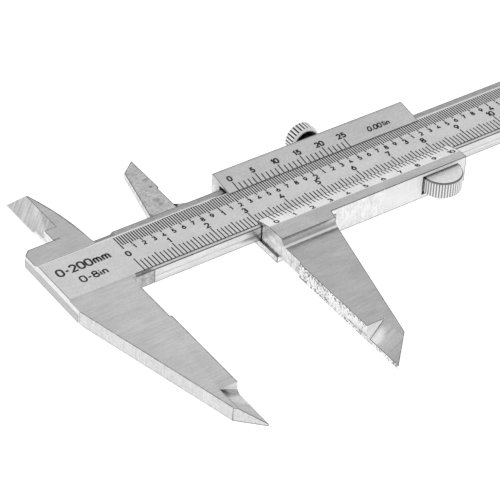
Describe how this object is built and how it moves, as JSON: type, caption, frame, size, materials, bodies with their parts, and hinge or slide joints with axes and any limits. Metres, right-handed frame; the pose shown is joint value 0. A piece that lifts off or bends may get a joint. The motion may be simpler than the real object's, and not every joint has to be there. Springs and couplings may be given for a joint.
{
  "type": "vernier caliper",
  "caption": "Vernier caliper for outside, inside and depth measurement, with a sliding jaw, a lock screw, a thumb roller and a depth rod. It reads up to 200 mm.",
  "frame": {"origin": "centre of the whole box at its base, with the caliper lying on its back and open 33 mm", "axes": "+X along the beam from the fixed jaw to the end stop, +Y from the outside jaws to the inside jaws, +Z out of the scale face"},
  "size_m": [0.3094, 0.0902, 0.0078],
  "materials": {
    "beam_steel": "satin, ground along the beam",
    "slider_steel": "satin, ground along the beam",
    "knurled_steel": "bright, straight knurl",
    "screw_steel": "dark, turned",
    "rod_steel": "satin, drawn",
    "spring_bronze": "rolled strip"
  },
  "bodies": {
    "beam": {"beam": "beam_steel", "end_stop_plate": "beam_steel", "end_stop_screws": "screw_steel"},
    "slider": {"slider_body": "slider_steel", "gib_spring": "spring_bronze", "gib_set_screws": "screw_steel", "roller_axle": "screw_steel", "roller_washer": "spring_bronze", "depth_rod": "rod_steel", "depth_rod_screws": "screw_steel"},
    "lock": {"lock_screw": "knurled_steel"},
    "roller": {"thumb_roller": "knurled_steel"}
  },
  "joints": [
    {"name": "slider_travel", "type": "slide", "parent": "beam", "child": "slider", "axis": [1, 0, 0], "range_m": [-0.033, 0.167]},
    {"name": "roller_spin", "type": "hinge", "parent": "slider", "child": "roller", "pos_m": [-0.0586, 0.00057, 0.0033], "axis": [0, 0, 1], "range_deg": [-380, 1920]},
    {"name": "lock_turn", "type": "hinge", "parent": "slider", "child": "lock", "pos_m": [-0.0774, 0.0292, 0.00395], "axis": [0, 1, 0], "range_deg": [-90, 540]}
  ],
  "couplings": [
    {"joint": "roller_spin", "follows": "slider_travel", "rad_per_m": 200}
  ]
}
